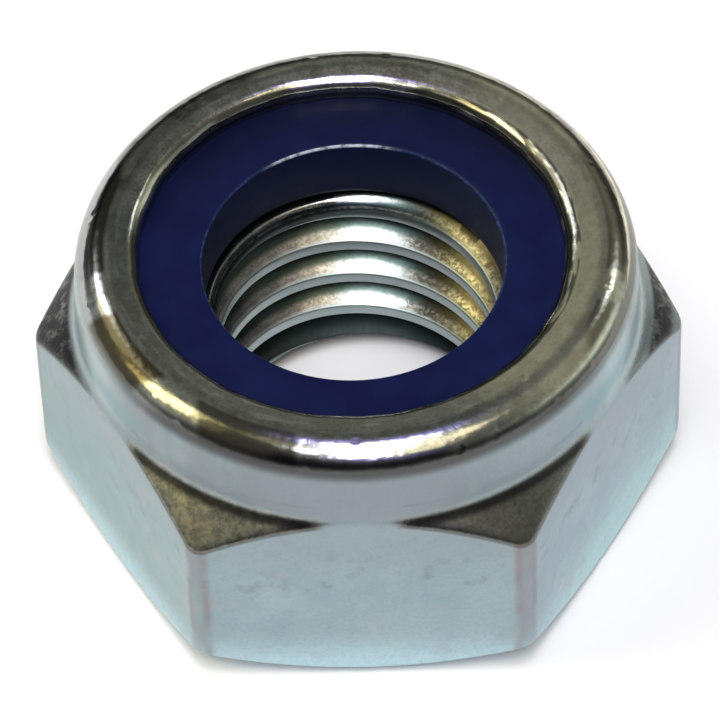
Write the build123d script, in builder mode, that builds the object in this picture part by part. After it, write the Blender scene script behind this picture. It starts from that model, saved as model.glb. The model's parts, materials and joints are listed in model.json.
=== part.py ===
"""Hexagon lock nut for an M10 thread, with a plastic ring held in its collar by a rolled lip.

The origin is the centre of the bearing face and +Z is the thread axis. Two corners of the
hexagon lie on the X axis, so two of its flats face -Y and +Y. Sizes are in millimetres.
"""

from build123d import *
from math import cos, radians, sin, sqrt, tan
import os

# Thread, at its minor diameter, with a lead-in cone at the bearing face and a steep one at the ring
thread_diameter = 10.0
thread_pitch = 1.5
countersink_margin = 0.4
countersink_angle = 30.0
mouth_flare = 0.25
mouth_angle = 60.0

# Hexagon: its wall is the steel between the thread's outer diameter and a flat
hexagon_wall = 3.5
corner_radius = 0.7
nut_height = 9.8

# Bearing face at the bottom, and the chamfer round it
bearing_setback = 0.4
bearing_chamfer_angle = 32.0

# Collar on top of the hexagon, with its rounded rim
collar_setback = 0.15
collar_height = 2.65
collar_taper = 3.0
collar_wall = 1.15
rim_radius = 1.05

# Shoulder between the collar's foot and the corners of the hexagon
shoulder_angle = 44.0
foot_radius = 0.5

# Lip rolled inwards over the ring: under it a level stretch at its edge, then a cone down to the wall
lip_reach = 0.77
lip_level = 0.17
lip_slope = 8.0
lip_thickness = 0.605
lip_edge_radius = 0.45

# Locking ring
ring_thickness = 2.25
ring_bite = 0.45
ring_clearance = 0.03
ring_edge_chamfer = 0.12
ring_foot_chamfer = 0.35

# Radii, counted outwards from the thread to the flats and back in to the lip
thread_r = thread_diameter / 2
minor_r = thread_r - 5 / 8 * sqrt(3) / 2 * thread_pitch
countersink_r = thread_r + countersink_margin
mouth_r = minor_r + mouth_flare
ring_bore_r = thread_r - ring_bite
flat_distance = thread_r + hexagon_wall
corner_reach = flat_distance / cos(radians(30))
bearing_r = flat_distance - bearing_setback
collar_r = flat_distance - collar_setback
pocket_r = collar_r - collar_wall
lip_r = pocket_r - lip_reach
roof_run = lip_reach - lip_level

# Rim: an arc from the tapered wall over the top to the sloping lip
rim_centre_z = nut_height - rim_radius
rim_centre_r = collar_r - rim_radius / cos(radians(collar_taper))
rim_sweep = 90 + lip_slope - collar_taper
slope_start_r = rim_centre_r - rim_radius * sin(radians(lip_slope))
slope_start_z = rim_centre_z + rim_radius * cos(radians(lip_slope))

# Heights, counted down from the top, so that a taller nut has a taller hexagon
lip_top_z = slope_start_z - (slope_start_r - lip_r) * tan(radians(lip_slope))
lip_under_z = lip_top_z - lip_thickness
ring_top_z = lip_under_z - ring_clearance
seat_z = ring_top_z - ring_thickness
foot_z = nut_height - collar_height
foot_r = collar_r + (rim_centre_z - foot_z) * tan(radians(collar_taper))
mouth_z = seat_z - (mouth_r - minor_r) * tan(radians(mouth_angle))
countersink_z = (countersink_r - minor_r) * tan(radians(countersink_angle))
upper_corner_z = foot_z - (corner_reach - foot_r) * tan(radians(shoulder_angle))
lower_corner_z = (corner_reach - bearing_r) * tan(radians(bearing_chamfer_angle))

# Nut body: the turned section is revolved, then the hexagon cuts its flats
with BuildPart() as nut_body:
    with BuildSketch(Plane.YZ) as nut_section:
        with BuildLine():
            rim = CenterArc((rim_centre_r, rim_centre_z), rim_radius, collar_taper, rim_sweep)
            outside = Polyline(
                (minor_r, countersink_z),
                (countersink_r, 0),
                (bearing_r, 0),
                (corner_reach, lower_corner_z),
                (corner_reach, upper_corner_z),
                (foot_r, foot_z),
                rim @ 0,
            )
            lip = Polyline(rim @ 1, (lip_r, lip_top_z), (lip_r, lip_under_z))
            inside = Polyline(
                (lip_r, lip_under_z),
                (lip_r + lip_level, lip_under_z),
                (pocket_r, lip_under_z - roof_run),
                (pocket_r, seat_z),
                (mouth_r, seat_z),
                (minor_r, mouth_z),
                (minor_r, countersink_z),
            )
        make_face()
        foot = nut_section.vertices().sort_by_distance((foot_r, foot_z))[0]
        fillet(foot, foot_radius)
        lip_edge = nut_section.vertices().sort_by_distance((lip_r, lip_top_z))[0]
        fillet(lip_edge, lip_edge_radius)
    revolve(axis=Axis.Z)
    with BuildSketch(Plane.XY) as hexagon:
        RegularPolygon(flat_distance, 6, major_radius=False)
        fillet(hexagon.vertices(), corner_radius)
    extrude(amount=nut_height, mode=Mode.INTERSECT)

nut_body.part.label = "nut_body"

# Locking ring: it stands on the seat, and its outer edge slopes under the roof of the lip
with BuildPart() as nylon_insert:
    with BuildSketch(Plane.YZ) as ring_section:
        with BuildLine():
            Polyline(
                (ring_bore_r, seat_z),
                (pocket_r - ring_clearance, seat_z),
                (pocket_r - ring_clearance, ring_top_z),
                (ring_bore_r, ring_top_z),
                close=True,
            )
        make_face()
        trapped_edge = ring_section.vertices().sort_by_distance((pocket_r, ring_top_z))[0]
        chamfer(trapped_edge, roof_run)
        bore_top = ring_section.vertices().sort_by_distance((ring_bore_r, ring_top_z))[0]
        chamfer(bore_top, ring_edge_chamfer)
        bore_foot = ring_section.vertices().sort_by_distance((ring_bore_r, seat_z))[0]
        chamfer(bore_foot, ring_foot_chamfer)
    revolve(axis=Axis.Z)

nylon_insert.part.label = "nylon_insert"

os.makedirs("parts", exist_ok=True)
export_step(nut_body.part, "parts/nut_body.step")
export_step(nylon_insert.part, "parts/nylon_insert.step")
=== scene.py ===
"""Looks of the hexagon lock nut: the zinc-plated body with its thread, and the dark blue locking ring.

Two corners of the hexagon lie on the X axis, and +Z is the thread axis. Sizes are in millimetres
until a mesh is made, where MM turns them into metres. Angles are in degrees where the name says so.
"""

import json
from math import atan2, cos, hypot, pi, radians, sin, sqrt, tan

import bpy
from mathutils import Matrix, Vector


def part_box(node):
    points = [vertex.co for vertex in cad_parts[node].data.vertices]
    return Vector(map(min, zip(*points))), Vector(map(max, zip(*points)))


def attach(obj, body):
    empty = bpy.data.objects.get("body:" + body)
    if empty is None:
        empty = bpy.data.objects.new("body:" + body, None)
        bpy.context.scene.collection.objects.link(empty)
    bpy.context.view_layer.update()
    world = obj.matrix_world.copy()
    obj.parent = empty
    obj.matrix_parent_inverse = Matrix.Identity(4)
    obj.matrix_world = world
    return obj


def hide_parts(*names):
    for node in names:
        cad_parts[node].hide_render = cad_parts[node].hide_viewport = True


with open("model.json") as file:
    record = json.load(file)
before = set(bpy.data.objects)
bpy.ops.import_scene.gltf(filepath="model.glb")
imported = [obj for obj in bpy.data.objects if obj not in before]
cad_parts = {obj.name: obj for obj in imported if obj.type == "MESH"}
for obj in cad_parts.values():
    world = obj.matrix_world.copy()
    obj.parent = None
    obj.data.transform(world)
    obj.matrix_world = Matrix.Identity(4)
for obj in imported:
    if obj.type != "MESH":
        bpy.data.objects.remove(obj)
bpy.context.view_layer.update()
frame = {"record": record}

MM = 0.001

# Sizes that the frame gives
nut_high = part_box("nut_body")[1] / MM
ring_low, ring_high = (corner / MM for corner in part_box("nylon_insert"))
mounts = {mount["name"]: mount for mount in frame["record"]["mounts"]}
nut_height = nut_high.z
flat_distance = nut_high.y
minor_r = mounts["thread"]["dims"]["r_mm"]
ring_bore_r = mounts["locking_bore"]["dims"]["r_mm"]
ring_outer_r = ring_high.x
ring_top_z = ring_high.z
seat_z = ring_low.z

# Thread
thread_r = 5.0
thread_pitch = 1.5
crest_round = 0.06
root_round = 0.08
thread_half_angle = 30.0
thread_phase = 0.77
countersink_r = 5.4
countersink_angle = 30.0
mouth_r = 4.44
mouth_angle = 60.0
mouth_round = 0.11
mouth_round_shift = 0.58 * mouth_round
drilled_r = 4.0

# Hexagon
corner_radius = 0.7
bearing_setback = 0.4
bearing_chamfer_angle = 32.0
edge_blend = 0.09
edge_zone = 0.4

# Collar, shoulder and rolled rim
collar_setback = 0.15
collar_height = 2.65
collar_taper = 3.0
collar_wall = 1.15
rim_radius = 1.05
shoulder_angle = 44.0
foot_radius = 0.5

# Lip over the ring
lip_reach = 0.77
lip_level = 0.17
lip_slope = 8.0
lip_edge_radius = 0.45
ring_clearance = 0.03

# Locking ring
ring_edge_round = 0.12
ring_foot_round = 0.35

# Unevenness of the lip's edge and of the ring's bore: a level, then the cosine and the sine of one
# wave round the nut and of two. The lip has fine ripples too: how high, how many and where they start
lip_shape = (-0.07, -0.12, 0.07, -0.06, -0.03)
lip_ripples = ((0.012, 17, 1), (0.008, 31, 0))
bore_shape = (-0.02, -0.075, -0.035, -0.055, 0.0)
bore_shape_width = 1.2

# Radii and heights that follow
bearing_r = flat_distance - bearing_setback
collar_r = flat_distance - collar_setback
pocket_r = collar_r - collar_wall
lip_r = pocket_r - lip_reach
roof_run = lip_reach - lip_level
rim_centre_z = nut_height - rim_radius
rim_centre_r = collar_r - rim_radius / cos(radians(collar_taper))
slope_start_r = rim_centre_r - rim_radius * sin(radians(lip_slope))
slope_start_z = rim_centre_z + rim_radius * cos(radians(lip_slope))
lip_top_z = slope_start_z - (slope_start_r - lip_r) * tan(radians(lip_slope))
lip_under_z = ring_top_z + ring_clearance
foot_z = nut_height - collar_height
foot_r = collar_r + (rim_centre_z - foot_z) * tan(radians(collar_taper))
mouth_z = seat_z - (mouth_r - drilled_r) * tan(radians(mouth_angle))
countersink_z = (countersink_r - drilled_r) * tan(radians(countersink_angle))

# Concave fillet at the collar's foot, as an arc about a centre outside the metal
foot_tangent = foot_radius * tan(radians((90 - shoulder_angle - collar_taper) / 2))
foot_top_r = foot_r - foot_tangent * sin(radians(collar_taper))
foot_top_z = foot_z + foot_tangent * cos(radians(collar_taper))
foot_centre_r = foot_top_r + foot_radius * cos(radians(collar_taper))
foot_centre_z = foot_top_z + foot_radius * sin(radians(collar_taper))
foot_end_r = foot_r + foot_tangent * cos(radians(shoulder_angle))
foot_end_z = foot_z - foot_tangent * sin(radians(shoulder_angle))

# Skin of the hexagon, which is turned with some metal to spare and then pressed in
skin_spare = 1.0
skin_top_z = foot_z + 0.5

# Rod that cuts the thread, with some length and some turns to spare
rod_spare = 1.0
turns_below = 2
turns_spare = 3

# Fineness of the meshes, and the angles in degrees from which edges stay crisp
turn_steps = 432
ring_turn_steps = 256
thread_steps = 180
corner_crowding = 0.6
skin_row_counts = (2, 14, 5, 14, 16)
wall_steps = 6
rim_steps = 32
slope_steps = 5
lip_edge_steps = 16
mouth_steps = 5
face_steps = 4
thread_edge_steps = 3
ring_foot_steps = 4
ring_edge_steps = 6
ring_top_steps = 8
nut_crease = 32
ring_crease = 35
merge_distance = 0.002 * MM
cut_threshold = 0.00001 * MM


def arc(centre, radius, start, end, steps):
    """Points of an arc in the section, from one angle in degrees to another."""
    turns = [radians(start + (end - start) * i / steps) for i in range(steps + 1)]
    return [(centre[0] + radius * cos(a), centre[1] + radius * sin(a)) for a in turns]


def spread(start, end, steps):
    """Evenly spaced points of a straight run, without its last one."""
    return [
        (start[0] + (end[0] - start[0]) * i / steps, start[1] + (end[1] - start[1]) * i / steps)
        for i in range(steps)
    ]


def select_none():
    """Clears the selection, so that an operator acts only on what is added next."""
    if bpy.context.object and bpy.context.object.mode != "OBJECT":
        bpy.ops.object.mode_set(mode="OBJECT")
    bpy.ops.object.select_all(action="DESELECT")


def drawn(name, points):
    """A line of joined points (radius, height) in the XZ plane, left in edit mode with all selected."""
    select_none()
    bpy.ops.mesh.primitive_plane_add(size=MM)
    piece = bpy.context.object
    piece.name = name
    bpy.ops.object.mode_set(mode="EDIT")
    bpy.ops.mesh.merge(type="CENTER")
    bpy.ops.transform.translate(value=(points[0][0] * MM, 0, points[0][1] * MM))
    for here, there in zip(points, points[1:]):
        step = ((there[0] - here[0]) * MM, 0, (there[1] - here[1]) * MM)
        bpy.ops.mesh.extrude_vertices_move(TRANSFORM_OT_translate={"value": step})
    bpy.ops.mesh.select_all(action="SELECT")
    return piece


def turned(name, section, steps):
    """A closed section turned once round the thread axis, as on a lathe."""
    piece = drawn(name, section + section[:1])
    bpy.ops.mesh.remove_doubles(threshold=merge_distance)
    bpy.ops.mesh.spin(steps=steps, angle=2 * pi, center=(0, 0, 0), axis=(0, 0, 1))
    bpy.ops.mesh.select_all(action="SELECT")
    bpy.ops.mesh.remove_doubles(threshold=merge_distance)
    bpy.ops.mesh.normals_make_consistent(inside=False)
    bpy.ops.object.mode_set(mode="OBJECT")
    return piece


def apply_modifier(piece, kind, **settings):
    """Adds a modifier, sets it and applies it."""
    modifier = piece.modifiers.new(kind.title(), kind)
    for name, value in settings.items():
        setattr(modifier, name, value)
    bpy.context.view_layer.objects.active = piece
    bpy.ops.object.modifier_apply(modifier=modifier.name)


def smooth(piece, angle):
    """Smooth shading, with edges sharper than the angle in degrees kept crisp."""
    select_none()
    piece.select_set(True)
    bpy.context.view_layer.objects.active = piece
    bpy.ops.object.shade_smooth_by_angle(angle=radians(angle))


def hexagon_reach(turn):
    """Distance from the axis to the rounded hexagon, in the direction of an angle in radians."""
    off_corner = (turn + pi / 6) % (pi / 3) - pi / 6
    corner_centre = (flat_distance - corner_radius) / cos(pi / 6)
    tangent = atan2(corner_radius / 2, corner_centre + corner_radius * cos(pi / 6))
    if abs(off_corner) > tangent:
        return flat_distance / cos(pi / 6 - abs(off_corner))
    across = corner_centre * sin(off_corner)
    return corner_centre * cos(off_corner) + sqrt(corner_radius**2 - across**2)


def shoulder_reach(z):
    """Radius of the collar, its foot and the shoulder at a height, before the flats are formed."""
    if z >= foot_top_z:
        return foot_r - (z - foot_z) * tan(radians(collar_taper))
    if z > foot_end_z:
        return foot_centre_r - sqrt(foot_radius**2 - (foot_centre_z - z) ** 2)
    return foot_r + (foot_z - z) / tan(radians(shoulder_angle))


def shoulder_level(reach):
    """Height at which the shoulder meets a flat that is that far from the axis."""
    if reach >= foot_end_r:
        return foot_z - (reach - foot_r) * tan(radians(shoulder_angle))
    return foot_centre_z - sqrt(foot_radius**2 - (foot_centre_r - reach) ** 2)


def chamfer_reach(z):
    """Radius of the chamfer round the bearing face at a height."""
    return bearing_r + z / tan(radians(bearing_chamfer_angle))


def chamfer_level(reach):
    """Height at which the chamfer meets a flat that is that far from the axis."""
    return (reach - bearing_r) * tan(radians(bearing_chamfer_angle))


def blended(one, other, width):
    """The smaller of two radii, with the edge between them softened."""
    return (one + other - hypot(one - other, width)) / 2


corner_reach = hexagon_reach(0)


def skin_marks(reach):
    """Heights that the rows between the bearing face and the collar keep to, for one reach."""
    low = chamfer_level(reach)
    high = shoulder_level(reach)
    return (0.0, low * 0.5, low + edge_zone, high - edge_zone, high + edge_zone, skin_top_z)


def skin_rows():
    """Heights of the rows at a corner of the hexagon, close together where edges will be."""
    marks = skin_marks(corner_reach)
    rows = []
    for low, high, count in zip(marks, marks[1:], skin_row_counts):
        rows += [low + (high - low) * i / count for i in range(count)]
    return rows


def slid(z, marks, new_marks):
    """A height moved from one set of marks to another, in proportion."""
    for low, high, new_low, new_high in zip(marks, marks[1:], new_marks, new_marks[1:]):
        if z <= high:
            return new_low + (z - low) / (high - low) * (new_high - new_low)
    return z


def nut_section():
    """Section of the nut before its flats are formed and its thread is cut."""
    rows = skin_rows()
    skin = [(corner_reach + skin_spare, z) for z in rows[1:]]
    wall = spread((shoulder_reach(skin_top_z), skin_top_z), (collar_r, rim_centre_z), wall_steps)
    rim = arc((rim_centre_r, rim_centre_z), rim_radius, collar_taper, 90 + lip_slope, rim_steps)
    edge_tangent = lip_edge_radius * tan(radians((90 - lip_slope) / 2))
    edge_start = (
        lip_r + edge_tangent * cos(radians(lip_slope)),
        lip_top_z + edge_tangent * sin(radians(lip_slope)),
    )
    edge_centre = (lip_r + lip_edge_radius, lip_top_z - edge_tangent)
    lip = spread(rim[-1], edge_start, slope_steps)[1:]
    lip += arc(edge_centre, lip_edge_radius, 90 + lip_slope, 180, lip_edge_steps)
    inside = [(lip_r, lip_under_z), (lip_r + lip_level, lip_under_z), (pocket_r, lip_under_z - roof_run)]
    rounding_centre = (mouth_r + mouth_round_shift, seat_z - mouth_round)
    rounding = arc(rounding_centre, mouth_round, 90, 90 + mouth_angle, mouth_steps)
    inside += spread((pocket_r, seat_z), rounding[0], face_steps) + rounding
    inside += [(drilled_r, mouth_z), (drilled_r, countersink_z)]
    face = spread((countersink_r, 0), (bearing_r, 0), face_steps) + [(bearing_r, 0)]
    return face + skin + wall + rim + lip + inside


def crowd_corners(piece):
    """Moves the columns of a turned piece closer together at the six corners."""
    for vertex in piece.data.vertices:
        reach = hypot(vertex.co.x, vertex.co.y)
        turn = atan2(vertex.co.y, vertex.co.x)
        turn -= corner_crowding * sin(6 * turn) / 6
        vertex.co.x = reach * cos(turn)
        vertex.co.y = reach * sin(turn)


def form_flats(piece):
    """Presses the flats, so that each row of the skin follows the hexagon, shoulder and chamfer."""
    marks = skin_marks(corner_reach)
    for vertex in piece.data.vertices:
        if hypot(vertex.co.x, vertex.co.y) / MM < corner_reach + skin_spare / 2:
            continue
        turn = atan2(vertex.co.y, vertex.co.x)
        reach = hexagon_reach(turn)
        z = slid(vertex.co.z / MM, marks, skin_marks(reach))
        pressed = blended(reach, shoulder_reach(z), edge_blend)
        pressed = blended(pressed, chamfer_reach(z), edge_blend)
        vertex.co = Vector((pressed * cos(turn), pressed * sin(turn), z)) * MM


def uneven(shape, turn):
    """How far an edge of that shape lies outside a true circle, in one direction."""
    level, cos_one, sin_one, cos_two, sin_two = shape
    one_wave = cos_one * cos(turn) + sin_one * sin(turn)
    two_waves = cos_two * cos(2 * turn) + sin_two * sin(2 * turn)
    return level + one_wave + two_waves


def lip_wave(turn):
    """How far the edge of the lip lies outside a true circle, in one direction."""
    return uneven(lip_shape, turn) + sum(high * sin(many * turn + at) for high, many, at in lip_ripples)


def bore_wave(turn):
    """How far the ring's bore lies outside a true circle, in one direction."""
    return uneven(bore_shape, turn)


def wave(piece, change, inner, outer, low):
    """Moves an inner edge in and out, fully at one radius and not at all at the other."""
    for vertex in piece.data.vertices:
        reach = hypot(vertex.co.x, vertex.co.y) / MM
        if reach > outer or vertex.co.z / MM < low:
            continue
        share = min((outer - reach) / (outer - inner), 1)
        grown = 1 + change(atan2(vertex.co.y, vertex.co.x)) * share / reach
        vertex.co.x *= grown
        vertex.co.y *= grown


def tap():
    """A threaded rod as large as the thread's groove, to be cut out of the nut."""
    flank = tan(radians(thread_half_angle))
    flank_turn = 90 - thread_half_angle
    root_half = thread_pitch / 16
    crest_half = root_half + (thread_r - minor_r) * flank
    crest_centre = (minor_r + crest_round, -crest_half - crest_round * flank)
    root_centre = (thread_r - root_round, -root_half + root_round * flank)
    up = arc(crest_centre, crest_round, 180, 180 - flank_turn, thread_edge_steps)
    up += arc(root_centre, root_round, -flank_turn, 0, thread_edge_steps)
    down = [(r, -z) for r, z in reversed(up)]
    line = up + down + [(up[0][0], up[0][1] + thread_pitch)]
    turns = int(nut_height / thread_pitch) + turns_spare
    rod = drawn("tap", line)
    bpy.ops.object.mode_set(mode="OBJECT")
    apply_modifier(
        rod, "SCREW", angle=2 * pi, screw_offset=thread_pitch * MM, iterations=turns,
        steps=thread_steps, render_steps=thread_steps, use_merge_vertices=True,
        merge_threshold=merge_distance, use_normal_calculate=True,
    )
    bpy.ops.object.mode_set(mode="EDIT")
    bpy.ops.mesh.select_all(action="SELECT")
    bpy.ops.transform.translate(value=(0, 0, (thread_phase - turns_below * thread_pitch) * MM))
    bpy.ops.mesh.select_all(action="SELECT")
    bpy.ops.mesh.remove_doubles(threshold=merge_distance)
    bpy.ops.mesh.select_all(action="SELECT")
    fill = {"plane_no": (0, 0, 1), "use_fill": True, "threshold": cut_threshold}
    bpy.ops.mesh.bisect(plane_co=(0, 0, -rod_spare * MM), clear_inner=True, **fill)
    bpy.ops.mesh.select_all(action="SELECT")
    bpy.ops.mesh.bisect(plane_co=(0, 0, (seat_z + rod_spare) * MM), clear_outer=True, **fill)
    bpy.ops.mesh.select_all(action="SELECT")
    bpy.ops.mesh.normals_make_consistent(inside=False)
    bpy.ops.object.mode_set(mode="OBJECT")
    return rod


def nut():
    """The nut body: turned, pressed into a hexagon, then tapped."""
    piece = turned("zinc_nut", nut_section(), turn_steps)
    crowd_corners(piece)
    form_flats(piece)
    wave(piece, lip_wave, lip_r, rim_centre_r, lip_under_z - ring_clearance / 2)
    rod = tap()
    apply_modifier(piece, "BOOLEAN", object=rod, operation="DIFFERENCE", solver="EXACT")
    bpy.data.objects.remove(rod)
    smooth(piece, nut_crease)
    return piece


def ring():
    """The locking ring, with its outer top edge sloped under the lip."""
    top = ring_top_z
    foot_centre = (ring_bore_r + ring_foot_round, seat_z + ring_foot_round)
    edge_centre = (ring_bore_r + ring_edge_round, top - ring_edge_round)
    bore_low = arc(foot_centre, ring_foot_round, 180, 270, ring_foot_steps)
    bore_high = arc(edge_centre, ring_edge_round, 90, 180, ring_edge_steps)
    trapped = (ring_outer_r - roof_run, top)
    section = bore_low + [(ring_outer_r, seat_z), (ring_outer_r, top - roof_run)]
    section += spread(trapped, bore_high[0], ring_top_steps) + bore_high
    piece = turned("nylon_ring", section, ring_turn_steps)
    wave(piece, bore_wave, ring_bore_r, ring_bore_r + bore_shape_width, 0.0)
    smooth(piece, ring_crease)
    return piece


# Colours of the flats and the collar. Each colour is its red, green and blue
flat_blue = (0.28, 0.37, 0.415)
flat_pale = (0.325, 0.415, 0.455)
left_teal = (0.21, 0.335, 0.335)
# Painted shade: greyer toward the top of the flats
upper_painted_shade_grey = (0.285, 0.345, 0.38)
collar_grey = (0.25, 0.295, 0.32)
streak_cyan = (0.38, 0.54, 0.56)
# Painted sheen: paler at the collar's sides
collar_side_painted_sheen = (0.40, 0.50, 0.50)
band_teal = (0.16, 0.33, 0.37)
# Painted sheen: lighter toward the bottom of the flats, and teal low on the right
low_painted_sheen_cyan = (0.45, 0.63, 0.70)
low_painted_sheen_teal = (0.40, 0.62, 0.61)
smudge_grey = (0.17, 0.19, 0.22)
spot_lilac = (0.40, 0.37, 0.41)
corner_brown = (0.24, 0.21, 0.225)
corner_line_brown = (0.23, 0.19, 0.20)
wall_grain = (0.22, 0.25, 0.26)

# Colours of the rolled rim and the edge of its lip, among them painted sheen, painted glints, painted
# reflections and painted shade
rim_grey = (0.49, 0.51, 0.475)
# Painted sheen: straw-coloured toward the right
rim_right_painted_sheen = (1.0, 0.97, 0.76)
rim_mottle = (0.36, 0.36, 0.31)
rim_grain = (0.26, 0.26, 0.22)
arc_pale = (0.80, 0.82, 0.76)
# Painted sheen on the far lip
far_lip_painted_sheen = (0.92, 0.89, 0.78)
# Dark painted reflection round the far side
far_band_painted_shade = (0.07, 0.07, 0.065)
# Painted glints: white specks at the far side
speck_painted_glint = (0.98, 0.98, 0.94)
# Painted shade that dims the far edge's highlight
far_edge_painted_shade = (0.14, 0.14, 0.12)
# Painted reflection along the left edge, cream, with painted shade in its dull part
left_edge_painted_shade = (0.34, 0.325, 0.22)
left_edge_painted_reflection = (0.95, 0.90, 0.66)
# Painted shade that dims the gleam at the right and breaks it into gaps
right_gleam_painted_shade = (0.035, 0.034, 0.027)
gleam_gap_painted_shade = (0.12, 0.12, 0.10)
# Painted shade above the left streak
above_streak_painted_shade = (0.055, 0.055, 0.045)
left_wall_grey = (0.50, 0.52, 0.53)
# Painted shade that dims the gold streak, the front left and the dots beyond the right ones
gold_stretch_painted_shade = (0.115, 0.098, 0.058)
front_left_painted_shade = (0.11, 0.105, 0.085)
right_dots_painted_shade = (0.34, 0.33, 0.26)
# Painted shade and a painted reflection of the ring on the lip's inner face
under_lip_painted_shade = (0.05, 0.055, 0.08)

# Colours of the thread
flank_left = (0.56, 0.52, 0.52)
flank_grey = (0.50, 0.53, 0.50)
# Painted shade to the right of the flanks' highlight, in brown flecks, and further right speckled gold
# flecks under painted shade
flank_painted_shade_dark = (0.105, 0.10, 0.085)
flank_painted_shade_pale = (0.36, 0.36, 0.33)
gold_fleck_shade_dark = (0.10, 0.085, 0.055)
gold_fleck_shade_pale = (0.36, 0.33, 0.24)
thread_mottle = (0.17, 0.18, 0.17)
thread_grain = (0.17, 0.165, 0.13)
# Painted shade in the thread's roots, teal to the left and brown to the right
root_painted_shade_teal = (0.040, 0.075, 0.064)
root_painted_shade_brown = (0.065, 0.055, 0.034)
# Painted shade over the mouth's cone
mouth_painted_shade = (0.045, 0.085, 0.080)
# Painted highlight where the thread starts
thread_start_painted_highlight = (0.62, 0.64, 0.60)
crest_blue = (0.40, 0.48, 0.48)
# Painted shade on the last flank at the bottom of the bore
last_flank_painted_shade = (0.020, 0.032, 0.031)

# Colours of the shoulders, with painted sheen and painted shade on them, and painted shade along the lines
# where two zones of the zinc meet
shoulder_olive = (0.46, 0.46, 0.38)
shoulder_dark = (0.25, 0.25, 0.21)
# Painted sheen at the left of the shoulders, painted shade at the right
shoulder_left_painted_sheen = (0.68, 0.65, 0.48)
shoulder_right_painted_shade = (0.17, 0.19, 0.18)
# Dark painted shade on the shoulders at the sides and back, paler at the collar's foot and the corners
back_shoulder_painted_shade = (0.030, 0.034, 0.038)
back_shoulder_shade_flecks = (0.22, 0.23, 0.20)
back_shoulder_foot_blue = (0.30, 0.36, 0.37)
back_shoulder_corner_blue = (0.30, 0.36, 0.36)
# Painted shade along the rim's outer edge, and painted shadow under the rim
side_edge_painted_shade = (0.15, 0.17, 0.16)
under_rim_painted_shadow = (0.055, 0.050, 0.050)
# Painted shade in the crevice at the collar's foot
crevice_painted_shade = (0.03, 0.03, 0.03)
# Painted shade along the edge between the shoulders and the flats
shoulder_edge_painted_shade = (0.06, 0.055, 0.05)

# Colours of the nylon
nylon_deep = (0.002, 0.004, 0.038)
nylon_blue = (0.0035, 0.007, 0.050)
nylon_bore = (0.002, 0.008, 0.044)
# Scuffs with a painted sheen along the bore's edge
nylon_scuff_and_sheen = (0.06, 0.10, 0.26)
# Painted shadow under the far lip
nylon_painted_shadow = (0.001, 0.0015, 0.012)
# Painted highlight on the bore's edge at the far side
nylon_edge_painted_highlight = (0.62, 0.68, 0.78)

# Colours of the floor and of the room round it, at the strength of plain light
floor_white = (0.93, 0.93, 0.93)
room_dim = (0.213, 0.216, 0.186)
room_dark = (0.10, 0.105, 0.10)
ceiling_lilac = (0.34, 0.33, 0.42)
right_wall_pale = (0.54, 0.60, 0.56)
right_corner_dim = (0.14, 0.145, 0.13)
left_wall_pale = (0.42, 0.43, 0.41)
back_wall_dark = (0.055, 0.056, 0.055)
left_gold = (0.86, 0.76, 0.42)
front_wall_dark = (0.036, 0.036, 0.046)
front_violet = (0.12, 0.11, 0.36)
horizon_pale = (0.50, 0.52, 0.53)

# Lamps, brighter than 1: a strip overhead with a violet fringe, softer ones beside it and at the walls
fringe_violet = (0.42, 0.32, 1.5)
cream_lamp = (1.9, 1.65, 1.15)
second_lamp = (7.0, 7.2, 7.8)
strip_lamp = (11.4, 11.4, 11.6)
gold_lamp = (4.4, 3.9, 2.1)
small_lamp = (1.2, 1.1, 0.8)
window_lamp = (4.6, 4.8, 5.2)
window_side = (1.9, 1.75, 1.3)
far_lamp = (1.5, 1.6, 1.7)

# Outputs of the Texture Coordinate node, and how patterns are stretched
world_output = 0
object_output = 3
arc_stretch = 6.0
ring_squeeze = 5.0
upright_stretch = (1.0, 1.0, 0.07)
floor_radius = 4.0


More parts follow.
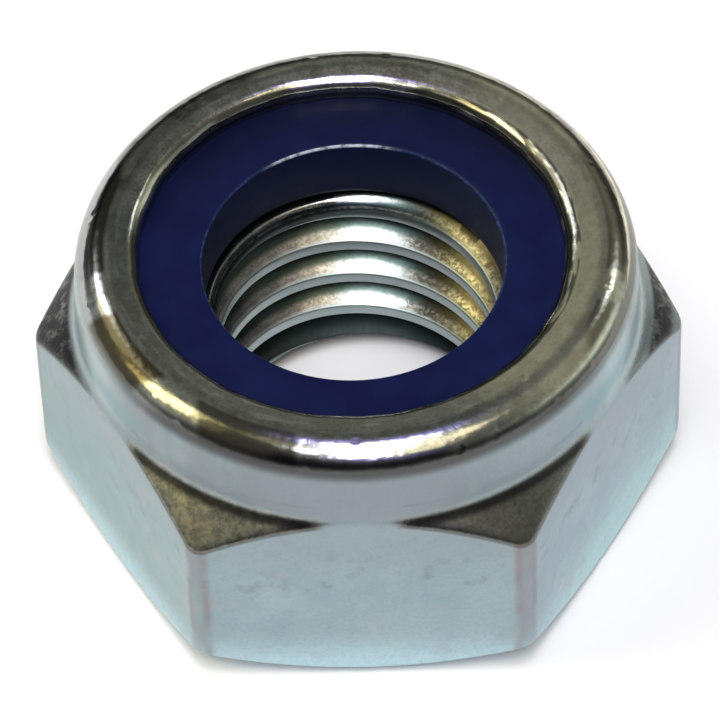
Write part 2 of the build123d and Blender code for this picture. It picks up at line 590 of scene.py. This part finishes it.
class Wire:
    """An output of a material's or the world's nodes. Arithmetic on it adds Math nodes."""

    def __init__(self, tree, socket=None):
        self.tree = tree
        self.socket = socket

    def node(self, kind, settings=None, sockets=None, output=0):
        """Adds any node: its settings first, then the values or links of its sockets."""
        made = self.tree.nodes.new("ShaderNode" + kind)
        for name, value in (settings or {}).items():
            setattr(made, name, value)
        for name, value in (sockets or {}).items():
            if isinstance(value, Wire):
                self.tree.links.new(value.socket, made.inputs[name])
            else:
                made.inputs[name].default_value = value
        return Wire(self.tree, made.outputs[output] if made.outputs else None)

    def math(self, operation, *values):
        """One Math node."""
        return self.node("Math", {"operation": operation}, dict(enumerate(values)))

    def __add__(self, other):
        return self.math("ADD", self, other)

    def __sub__(self, other):
        return self.math("SUBTRACT", self, other)

    def __rsub__(self, other):
        return self.math("SUBTRACT", other, self)

    def __mul__(self, other):
        return self.math("MULTIPLY", self, other)

    def __truediv__(self, other):
        return self.math("DIVIDE", self, other)

    def __pow__(self, other):
        return self.math("POWER", self, other)

    def __abs__(self):
        return self.math("ABSOLUTE", self)

    __radd__ = __add__
    __rmul__ = __mul__

    def rise(self, low, high, to_low=0.0, to_high=1.0):
        """Goes smoothly from one value to another as this goes from low to high."""
        return self.node(
            "MapRange", {"interpolation_type": "SMOOTHSTEP"},
            {"Value": self, "From Min": low, "From Max": high, "To Min": to_low, "To Max": to_high},
        )

    def between(self, low, low_full, high_full, high):
        """Goes from 0 up to 1, stays there, and goes down to 0 again."""
        return self.rise(low, low_full) * (1 - self.rise(high_full, high))

    def inside(self, low, high, soft):
        """1 between two values, 0 beyond them, with soft edges."""
        return self.between(low - soft, low + soft, high - soft, high + soft)

    def noise(self, place, scale, detail=2.0, roughness=0.5):
        """Noise from 0 to 1 at a place, with a scale in features for each unit of the place."""
        return self.node(
            "TexNoise", {}, {"Vector": place, "Scale": scale, "Detail": detail, "Roughness": roughness},
        )

    def mixed(self, share, colour, other):
        """Two colours mixed, from the first at 0 to the other at 1."""
        pair = [each if isinstance(each, Wire) else (*each, 1) for each in (colour, other)]
        return self.node("Mix", {"data_type": "RGBA"}, {0: share, 6: pair[0], 7: pair[1]}, output=2)

    def tinted(self, share, colour):
        """This colour, with another over it where the share is above 0."""
        return self.mixed(share, self, colour)

    def stretched(self, place, scale):
        """A place scaled along X, Y and Z."""
        return self.node("VectorMath", {"operation": "MULTIPLY"}, {0: place, 1: scale})

    def axes(self, place):
        """The X, Y and Z of a place."""
        split = self.node("SeparateXYZ", {}, {0: place}).socket.node
        return [Wire(self.tree, socket) for socket in split.outputs]


def new_material(name):
    """An empty material, as a wire to build with, and the piece's place in millimetres."""
    material = bpy.data.materials.new(name)
    material.use_nodes = True
    material.node_tree.nodes.clear()
    start = Wire(material.node_tree)
    place = start.stretched(start.node("TexCoord", output=object_output), (1 / MM, 1 / MM, 1 / MM))
    return material, start, place


def finish_material(start, **sockets):
    """Ends a material in one Principled shader. Underscores in the names stand for spaces."""
    names = {name.replace("_", " "): value for name, value in sockets.items()}
    shader = start.node("BsdfPrincipled", {}, names)
    start.node("OutputMaterial", {}, {"Surface": shader})


class ZincPlate:
    """Zinc plate: pale and satin on the flats and collar, darker, glossy and dimpled on the rim."""

    def __init__(self):
        self.material, self.start, self.place = new_material("zinc_plate")
        self.x, self.y, self.z = self.start.axes(self.place)
        self.radius = (self.x * self.x + self.y * self.y) ** 0.5
        self.aside = abs(self.x)
        self.off_corner = self.start.math("PINGPONG", self.start.math("ARCTAN2", self.y, self.x), pi / 6)
        self.find_zones()
        self.find_patterns()

    def find_zones(self):
        """Where each finish is: 1 on it and 0 off it, with soft edges."""
        z, radius = self.z, self.radius
        cone = z + radius * tan(radians(shoulder_angle))
        level = foot_z + foot_r * tan(radians(shoulder_angle))
        near_corner = 1 - self.off_corner.rise(0.35, 0.42)
        self.on_rim = z.rise(9.02, 9.40)
        self.on_shoulder = cone.rise(level - 0.10, level - 0.03) * (1 - z.rise(7.0, 7.3)) * near_corner
        # Painted shade goes along the edge between the shoulders and the flats
        outline = cone.between(level - 0.18, level - 0.10, level - 0.05, level + 0.02)
        self.shoulder_edge_shade_zone = outline * near_corner * z.rise(5.4, 5.6)
        self.in_thread = 1 - radius.rise(5.0, 5.1)
        self.last_flank = z.rise(1.40, 1.10) * radius.rise(4.20, 4.24) * self.in_thread

    def find_patterns(self):
        """Noises that several of the colours share, from the widest to the finest."""
        start, place, radius = self.start, self.place, self.radius
        round_x, round_y = (arc_stretch * axis / radius for axis in (self.x, self.y))
        self.round_place = start.node("CombineXYZ", {}, {0: round_x, 1: round_y, 2: radius * ring_squeeze})
        self.clouds = start.noise(place, 0.45, 2.0, 0.6)
        self.spots = start.noise(place, 0.7, 2.0)
        self.arcs = start.noise(self.round_place, 1.0, 1.0, 0.6)
        self.mottle = start.noise(place, 1.6, 3.0, 0.65)
        self.flakes = start.noise(place, 3.2, 2.0, 0.7)
        self.specks = start.noise(place, 8.0, 3.0, 0.6)
        self.grain = start.noise(place, 9.0, 3.0, 0.7)

    def wall(self):
        """Flats and collar: pale blue with teal, grey smudges, lilac spots and brown corners, with painted
        shade toward the top of the flats and painted sheen toward their bottom and at the collar's sides.
        """
        start, x, z, radius = self.start, self.x, self.z, self.radius
        wall = start.mixed(self.clouds.rise(0.34, 0.66), flat_blue, flat_pale)
        wall = wall.tinted(x.rise(-3.5, -6.5, 0.0, 0.75), left_teal)
        # Painted shade: greyer toward the top
        wall = wall.tinted(z.rise(4.6, 6.2, 0.0, 0.7), upper_painted_shade_grey)

        below_foot = 1 - radius.rise(8.6, 8.8)
        on_collar = z.rise(6.9, 7.4) * below_foot
        wall = wall.tinted(on_collar * x.rise(6.0, 2.5, 0.0, 0.9), collar_grey)
        streaks = start.noise(start.stretched(self.place, upright_stretch), 0.7, 2.0)
        cyan_streaks = streaks.rise(0.40, 0.80, 0.0, 0.6) * on_collar * self.aside.rise(2.5, 6.0)
        wall = wall.tinted(cyan_streaks, streak_cyan)
        # Painted sheen: paler at the collar's sides
        wall = wall.tinted(on_collar * self.aside.rise(6.6, 7.8) * 0.85, collar_side_painted_sheen)
        teal_band = z.between(7.2, 7.9, 8.0, 8.5) * below_foot
        wall = wall.tinted(teal_band * self.aside.rise(5.6, 7.2, 0.0, 0.6), band_teal)

        # Painted sheen: lighter toward the bottom, and teal low on the right
        wall = wall.tinted(z.rise(2.2, 0.3, 0.0, 0.95), low_painted_sheen_cyan)
        wall = wall.tinted(x.rise(4.5, 7.5) * z.rise(4.0, 1.0, 0.0, 0.7), low_painted_sheen_teal)
        smudges = start.noise(self.place, 1.5, 3.0, 0.6)
        smudge_band = z.between(3.4, 4.4, 5.2, 5.8) + 0.35
        wall = wall.tinted(smudges.rise(0.50, 0.74, 0.0, 0.38) * smudge_band, smudge_grey)
        wall = wall.tinted(self.spots.rise(0.58, 0.74, 0.0, 0.4), spot_lilac)

        on_corner = radius.rise(9.0, 9.1)
        corner_fill = (1 - self.off_corner.rise(0.012, 0.030)) * on_corner
        wall = wall.tinted(corner_fill * self.clouds.rise(0.35, 0.60, 0.2, 0.5), corner_brown)
        corner_lines = self.off_corner.between(0.008, 0.028, 0.028, 0.050) * on_corner
        wall = wall.tinted(corner_lines * self.spots.rise(0.3, 0.6, 0.25, 0.65), corner_line_brown)
        return wall.tinted(self.grain.rise(0.35, 0.75, 0.0, 0.25), wall_grain)

    def rim(self):
        """Rolled rim: olive grey and grainy, with a straw-coloured painted sheen to the right, a painted
        sheen on the far lip and a dark painted reflection round the far side.
        """
        start, x, y, radius = self.start, self.x, self.y, self.radius
        # Painted sheen: straw-coloured toward the right
        to_right = x.rise(1.2, 5.0) * y.rise(-7.2, -5.0)
        rim = start.mixed(to_right, rim_grey, rim_right_painted_sheen)
        # Painted sheen on the far lip
        far_lip = (1 - radius.rise(7.00, 7.30)) * y.rise(0.5, 3.0)
        rim = rim.tinted(far_lip * 0.75, far_lip_painted_sheen)
        rim = rim.tinted(self.mottle.rise(0.62, 0.38, 0.0, 0.6) * (1 - 0.6 * to_right), rim_mottle)
        rim = rim.tinted(self.grain.rise(0.45, 0.7, 0.0, 0.5) * (1 - 0.75 * to_right), rim_grain)
        rim = rim.tinted(self.arcs.rise(0.55, 0.7, 0.0, 0.4), arc_pale)
        # Dark painted reflection round the far side
        far_band = (radius - x.rise(-4.5, 0.0, 0.0, 0.5)).rise(7.10, 7.40) * (1 - radius.rise(7.95, 8.1))
        far_band = far_band * y.rise(-1.5, 2.5)
        rim = rim.tinted(far_band * self.mottle.rise(0.25, 0.55, 1.0, 0.62), far_band_painted_shade)
        return self.outer_rim(self.lip_edge(rim))

    def lip_edge(self, rim):
        """Painted light on the lip's edge: painted glints as white specks at the far side, painted shade on
        its far edge, a painted reflection and painted shade at the left, and at the right gleams dimmed and
        broken into gaps by painted shade.
        """
        x, y, z, radius = self.x, self.y, self.z, self.radius
        # Painted glints: white specks at the far side
        far_glint_specks = self.specks.rise(0.50, 0.72) * (1 - radius.rise(6.85, 7.05)) * y.rise(0.0, 3.0)
        rim = rim.tinted(far_glint_specks * 0.75, speck_painted_glint)
        # Painted shade that dims the far edge's highlight
        far_edge = z.rise(9.36, 9.42) * (1 - radius.rise(6.66, 6.86))
        far_edge = far_edge * y.rise(1.6, 3.2) * (1 - x.rise(-2.2, -1.7))
        rim = rim.tinted(far_edge * 0.75, far_edge_painted_shade)
        # Painted reflection: a cream line along the left edge, dull where painted shade takes over
        left_edge = z.rise(9.38, 9.50) * (1 - radius.rise(6.62, 6.78)) * x.rise(-5.4, -6.2)
        left_edge_painted_light = self.start.mixed(y.rise(0.4, 1.9), left_edge_painted_shade, left_edge_painted_reflection)
        rim = rim.tinted(left_edge * y.rise(0.4, 1.9, 0.85, 0.7), left_edge_painted_light)
        # Painted shade that dims the gleam at the right
        right_gleam = z.inside(9.50, 9.63, 0.025) * (1 - radius.rise(6.80, 6.90))
        right_gleam = right_gleam * x.rise(1.2, 2.2) * y.rise(-2.0, -0.5)
        rim = rim.tinted(right_gleam * 0.96, right_gleam_painted_shade)
        # Painted shade that breaks the gleam into gaps
        gleam_gaps = (1 - radius.rise(6.60, 6.70)) * x.rise(1.2, 2.4) * self.arcs.rise(0.58, 0.48)
        return rim.tinted(gleam_gaps * 0.85, gleam_gap_painted_shade)

    def outer_rim(self, rim):
        """Painted shade on the rim's outer turn, where the lamps to the left and the right are mirrored, a
        grey at its left wall, and painted shade on the lip's inner face.
        """
        x, y, z, radius = self.x, self.y, self.z, self.radius
        outer = radius.rise(7.35, 7.5)
        # Painted shade above the left streak
        above_streak = x.rise(-6.8, -7.1) * y.rise(-1.1, -0.8) * outer
        rim = rim.tinted(above_streak * 0.95, above_streak_painted_shade)
        left_wall = x.rise(-6.8, -7.2) * radius.rise(7.80, 7.88) * y.rise(-3.0, -2.0)
        rim = rim.tinted(left_wall * 0.8, left_wall_grey)
        # Painted shade that dims the gold streak
        gold_stretch = x.rise(-5.0, -5.6) * y.inside(-5.05, -2.5, 0.15) * outer
        rim = rim.tinted(gold_stretch * 0.95, gold_stretch_painted_shade)
        # Painted shade at the front left
        front_left = x.inside(-4.6, -1.75, 0.12) * y.rise(-5.8, -6.0) * outer
        rim = rim.tinted(front_left * 0.9, front_left_painted_shade)
        # Painted shade that dims the dots beyond the right ones
        beyond_dots = x.rise(6.5, 6.9) * radius.inside(7.45, 7.95, 0.06) * (1 - y.inside(-2.4, -1.2, 0.1))
        rim = rim.tinted(beyond_dots * 0.85, right_dots_painted_shade)
        # Painted shade and a painted reflection of the ring on the lip's inner face
        return rim.tinted(z.rise(9.42, 9.26) * (1 - radius.rise(6.7, 6.9)), under_lip_painted_shade)

    def thread(self):
        """Thread: grey flanks, brown and gold flecks to the right under painted shade, painted shade in the
        roots, over the mouth and on the last flank, a painted highlight where it starts, and pale blue
        crests.
        """
        start, x, z, radius = self.start, self.x, self.z, self.radius
        thread = start.mixed(x.rise(-2.4, 0.0), flank_left, flank_grey)
        # Painted shade in brown flecks to the right of the highlight
        brown = start.mixed(self.specks.rise(0.40, 0.58), flank_painted_shade_dark, flank_painted_shade_pale)
        thread = thread.tinted(x.rise(0.9, 1.9), brown)
        # Speckled gold flecks under painted shade, further to the right
        gold = start.mixed(self.specks.rise(0.38, 0.58), gold_fleck_shade_dark, gold_fleck_shade_pale)
        thread = thread.tinted((x + z.rise(6.3, 6.5, 0.0, 0.5)).rise(2.8, 3.4), gold)
        thread = thread.tinted(self.mottle.rise(0.60, 0.42, 0.0, 0.45), thread_mottle)
        thread = thread.tinted(self.grain.rise(0.46, 0.62, 0.0, 0.55), thread_grain)

        # Painted shade in the roots, teal to the left and brown to the right
        root_painted_shade = start.mixed(x.rise(1.5, 2.6), root_painted_shade_teal, root_painted_shade_brown)
        thread = thread.tinted((radius + 0.03 * self.aside).rise(4.46, 4.66, 0.0, 0.9), root_painted_shade)
        # Painted shade over the mouth's cone, which leaves only its rounded edge bright
        on_mouth = z.between(6.40, 6.46, 6.66, 6.72) * (1 - radius.rise(4.5, 4.55)) * (1 - x.rise(1.4, 2.6))
        thread = thread.tinted(on_mouth * 0.88, mouth_painted_shade)
        # Painted highlight: a pale broken line where the thread starts
        thread_start = (z + 0.02 * x).between(6.50, 6.53, 6.56, 6.60) * (1 - x.rise(1.2, 2.4))
        thread = thread.tinted(thread_start * self.specks.rise(0.35, 0.60), thread_start_painted_highlight)
        on_crest = radius.rise(4.27, 4.22, 0.0, 0.85) * (1 - z.rise(6.5, 6.6))
        thread = thread.tinted(on_crest, crest_blue)
        # Painted shade on the last flank at the bottom of the bore
        return thread.tinted(self.last_flank * 0.96, last_flank_painted_shade)

    def shoulder(self):
        """Shoulders: olive grain in front, with a gold painted sheen at the left and painted shade at the
        right, and dark painted shade at the sides and back.
        """
        start, x, radius = self.start, self.x, self.radius
        front = start.mixed(self.grain.rise(0.30, 0.72), shoulder_olive, shoulder_dark)
        # Painted sheen at the left, painted shade at the right
        front = front.tinted(x.rise(-1.0, -3.0) * self.flakes.rise(0.44, 0.62, 0.0, 0.7), shoulder_left_painted_sheen)
        front = front.tinted(x.rise(1.0, 3.0, 0.0, 0.35), shoulder_right_painted_shade)
        # Dark painted shade at the sides and back, paler at the collar's foot and the corners
        back_shoulder_shade = start.mixed(self.flakes.rise(0.46, 0.74), back_shoulder_painted_shade, back_shoulder_shade_flecks)
        back_shoulder_shade = back_shoulder_shade.tinted(1 - (radius - 0.012 * x).rise(8.66, 8.80), back_shoulder_foot_blue)
        back_shoulder_shade = back_shoulder_shade.tinted(radius.rise(9.30, 9.50) * x.rise(0.0, 1.0, 0.0, 0.7), back_shoulder_corner_blue)
        return front.tinted(self.y.rise(-4.6, -3.6), back_shoulder_shade)

    def colour(self):
        """Every zone's colour in its place, and painted shade along the lines where two zones meet and in
        the crevice at the collar's foot.
        """
        x, y, z = self.x, self.y, self.z
        base = self.wall().tinted(self.on_shoulder, self.shoulder()).tinted(self.on_rim, self.rim())
        on_outside = self.radius.rise(7.9, 8.0)
        # Painted shade along the rim's outer edge at the sides
        side_edge = z.inside(9.13, 9.45, 0.06) * on_outside
        side_edge = side_edge * (x.rise(4.2, 5.8, 0.0, 0.8) + x.rise(-5.0, -6.6, 0.0, 0.15))
        base = base.tinted(side_edge, side_edge_painted_shade)
        # Painted shadow under the rim
        under_rim = z.between(8.72, 9.12, 9.34, 9.50) * on_outside
        under_rim = under_rim * x.rise(-7.5, -5.5, 0.1, 0.78) * x.rise(5.5, 7.5, 1.0, 0.64)
        base = base.tinted(under_rim, under_rim_painted_shadow)
        base = base.tinted(self.in_thread, self.thread())
        # Painted shade in the crevice at the collar's foot
        crevice = z.between(6.82, 6.98, 7.04, 7.24) * (1 - self.off_corner.rise(0.32, 0.41))
        base = base.tinted(crevice * y.rise(-3.4, -4.6) * 0.85, crevice_painted_shade)
        # Painted shade along the edge between the shoulders and the flats
        return base.tinted(self.shoulder_edge_shade_zone * 0.6, shoulder_edge_painted_shade)

    def roughness(self):
        """Satin, and glossier on the rim, in the thread and on the shoulders."""
        roughness = 0.27 + 0.12 * self.start.noise(self.place, 1.3, 2.0, 0.6)
        roughness = roughness - 0.17 * self.on_rim - 0.08 * self.in_thread - 0.06 * self.on_shoulder
        crest_haze = self.in_thread * self.radius.rise(4.32, 4.24, 0.0, 0.16)
        return roughness + crest_haze + 0.3 * self.last_flank

    def normal(self):
        """Shallow dents all over, and scratches and pits on the rim. Depths are in millimetres."""
        start, place, on_rim = self.start, self.place, self.on_rim
        cells = start.node("TexVoronoi", {}, {"Vector": place, "Scale": 1.3})
        pits = (1 - cells.rise(0.06, 0.26)) * self.z.rise(8.9, 9.1) * self.radius.rise(7.0, 7.2)
        dents = start.noise(place, 2.2, 1.0, 0.5)
        fine = start.noise(place, 12.0, 1.0, 0.6)
        scratches = start.noise(self.round_place, 3.0, 1.0, 0.6)
        depth = dents * (0.004 + 0.008 * on_rim) + fine * 0.0012 + scratches * on_rim * 0.002 - pits * 0.010
        return start.node("Bump", {}, {"Strength": 1.0, "Distance": MM, "Height": depth})

    def finished(self):
        """The material, with its shader."""
        finish_material(
            self.start, Base_Color=self.colour(), Metallic=1.0, Roughness=self.roughness(),
            Normal=self.normal(),
        )
        return self.material


def blue_nylon():
    """Dark blue moulded nylon, half-matt, rubbed smooth along the edge of its bore, with scuffs and a
    painted sheen along that edge, a painted highlight on it at the far side, and a painted shadow under the
    far lip.
    """
    material, start, place = new_material("blue_nylon")
    x, y, z = start.axes(place)
    radius = (x * x + y * y) ** 0.5
    clouds = start.noise(place, 0.8, 3.0)
    scuffs = start.noise(place, 5.0, 4.0, 0.7)
    top = ring_top_z
    on_edge = z.between(top - 0.11, top - 0.07, top - 0.03, top - 0.01)

    base = start.mixed(clouds.rise(0.3, 0.7), nylon_deep, nylon_blue)
    base = base.tinted((1 - radius.rise(4.56, 4.64)) * 0.8, nylon_bore)
    # Scuffs and a painted sheen along the bore's edge
    base = base.tinted(on_edge * scuffs.rise(0.45, 0.65, 0.15, 0.6), nylon_scuff_and_sheen)
    # Painted shadow under the far lip
    under_far_lip = radius.rise(4.9, 6.3, 0.35, 1.0) * y.rise(0.0, 5.0)
    base = base.tinted(under_far_lip * 0.7, nylon_painted_shadow)
    # Painted highlight on the bore's edge at the far side
    far_edge = on_edge * y.rise(3.5, 4.1) * x.between(-3.0, -2.0, 0.4, 1.4)
    base = base.tinted(far_edge * scuffs.rise(0.28, 0.62, 0.12, 0.9), nylon_edge_painted_highlight)

    roughness = 0.40 + 0.12 * start.noise(place, 2.0, 3.0) - 0.2 * on_edge
    depth = start.noise(place, 6.0, 3.0, 0.6) * 0.006 + scuffs * on_edge * 0.02
    normal = start.node("Bump", {}, {"Strength": 0.6, "Distance": MM, "Height": depth})
    finish_material(start, Base_Color=base, Roughness=roughness, Specular_IOR_Level=0.15, Normal=normal)
    return material


def dress(piece, material, node):
    """Gives a piece its material, puts it under the root body and hides the CAD node that it stands for."""
    piece.data.materials.clear()
    piece.data.materials.append(material)
    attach(piece, "root")
    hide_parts(node)


def floor():
    """A wide pale floor under the nut."""
    select_none()
    bpy.ops.mesh.primitive_circle_add(vertices=96, radius=floor_radius, fill_type="NGON")
    sheet = bpy.context.object
    sheet.name = "floor"
    material = bpy.data.materials.new("floor_paper")
    material.use_nodes = True
    material.node_tree.nodes.clear()
    start = Wire(material.node_tree)
    finish_material(start, Base_Color=(*floor_white, 1), Roughness=0.9, Specular_IOR_Level=0.0)
    sheet.data.materials.append(material)


def towards(azimuth, elevation):
    """A direction: azimuth from the camera's side round to the right, and elevation, in degrees."""
    turn, rise = radians(azimuth), radians(elevation)
    return (sin(turn) * cos(rise), -cos(turn) * cos(rise), sin(rise))


def light():
    """The world: a pale horizon, a dim warm room above it, and soft lamps overhead and to the left."""
    world = bpy.data.worlds.new("studio")
    bpy.context.scene.world = world
    world.use_nodes = True
    world.node_tree.nodes.clear()
    start = Wire(world.node_tree)
    direction = start.node("TexCoord", output=world_output)
    x, y, z = start.axes(direction)
    azimuth = start.math("ARCTAN2", x, 0 - y) * (180 / pi)
    elevation = start.math("ARCSINE", z) * (180 / pi)

    def spot(middle_azimuth, middle_elevation, inner, outer):
        """1 inside a round spot of the sky, 0 outside it, by angles in degrees from its middle."""
        middle = towards(middle_azimuth, middle_elevation)
        near = start.node("VectorMath", {"operation": "DOT_PRODUCT"}, {0: direction, 1: middle}, output=1)
        return near.rise(cos(radians(outer)), cos(radians(inner)))

    def patch(left, right, low, high, soft):
        """1 inside a soft-edged stretch of the sky, 0 outside it, in degrees of azimuth and elevation."""
        return azimuth.inside(left, right, soft) * elevation.inside(low, high, soft)

    behind = abs(azimuth).rise(106, 128)
    sky = start.mixed(spot(158, 55, 5, 24), room_dim, room_dark)
    sky = sky.tinted(elevation.rise(70, 84, 0.0, 0.8), ceiling_lilac)
    sky = sky.tinted(patch(60, 128, -10, 24, 9), right_wall_pale)
    sky = sky.tinted(patch(34, 62, 4, 46, 7), right_corner_dim)
    sky = sky.tinted(patch(-135, -66, -10, 30, 9), left_wall_pale)
    sky = sky.tinted(behind * elevation.rise(28, 14), back_wall_dark)
    sky = sky.tinted(patch(-92, -60, 33, 52, 6) * 0.85, left_gold)
    sky = sky.tinted(patch(-34, 34, -10, 39, 5), front_wall_dark)
    sky = sky.tinted(patch(-4, 30, 33, 46, 4) * 0.8, front_violet)
    sky = sky.tinted(elevation.rise(9, 0, 0.0, 0.8) * (1 - behind), horizon_pale)

    ceiling = z.math("MAXIMUM", z, 0.02)
    across = x / ceiling
    along = y / ceiling

    def overhead(left, right, soft, front, front_full, back_full, back):
        """1 inside a strip of the ceiling, 0 outside it, by its place on a ceiling 1 unit above."""
        strip = across.inside(left, right, soft) * along.between(front, front_full, back_full, back)
        return strip * z.rise(0.1, 0.2)

    strip = overhead(-0.115, 0.165, 0.025, -1.04, -0.92, -0.02, 0.10)
    fringe = overhead(-0.18, 0.21, 0.04, -1.36, -1.04, 0.04, 0.34)
    cream = overhead(0.19, 0.53, 0.03, -0.98, -0.86, -0.20, -0.06)
    second = overhead(-0.33, -0.20, 0.02, -0.74, -0.62, -0.34, -0.22)
    lamps = sky.tinted(fringe, fringe_violet)
    lamps = lamps.tinted(cream * (1 - strip), cream_lamp)
    lamps = lamps.tinted(second, second_lamp)
    lamps = lamps.tinted(strip, strip_lamp)
    lamps = lamps.tinted(patch(-98, -76, 29, 60, 3), gold_lamp)
    lamps = lamps.tinted(spot(-50, 67, 3, 10), small_lamp)
    lamps = lamps.tinted(patch(-141, -126, 31, 49, 3), window_lamp)
    lamps = lamps.tinted(patch(-128, -106, 30, 53, 3), window_side)
    lamps = lamps.tinted(patch(127, 138, 31, 46, 2), far_lamp)
    background = start.node("Background", {}, {"Color": lamps, "Strength": 1.0})
    start.node("OutputWorld", {}, {"Surface": background})


# Camera, from the photograph's outline: the nut's own sizes give its distance and its angles
camera_distance = 164.5
camera_elevation = 49.78
camera_azimuth = 1.05
camera_roll = 2.07
camera_aim = (0.02, 0.0, 4.42)
pixels_per_mm = 33.103
image_pixels = 720
nearest_seen = 0.01


def camera():
    """The photograph's viewpoint."""
    rise, turn, roll = radians(camera_elevation), radians(camera_azimuth), radians(camera_roll)
    back = Vector((sin(turn) * cos(rise), -cos(turn) * cos(rise), sin(rise)))
    level = Vector((cos(turn), sin(turn), 0))
    upright = back.cross(level)
    right = cos(roll) * level - sin(roll) * upright
    up = sin(roll) * level + cos(roll) * upright
    data = bpy.data.cameras.new("camera")
    data.lens = pixels_per_mm * camera_distance / image_pixels * data.sensor_width
    data.clip_start = nearest_seen
    place = (Vector(camera_aim) + camera_distance * back) * MM
    viewer = bpy.data.objects.new("camera", data)
    viewer.matrix_world = Matrix.Translation(place) @ Matrix((right, up, back)).transposed().to_4x4()
    bpy.context.scene.collection.objects.link(viewer)
    bpy.context.scene.camera = viewer


dress(nut(), ZincPlate().finished(), "nut_body")
dress(ring(), blue_nylon(), "nylon_insert")
floor()
light()
camera()
bpy.context.scene.view_settings.view_transform = "Standard"
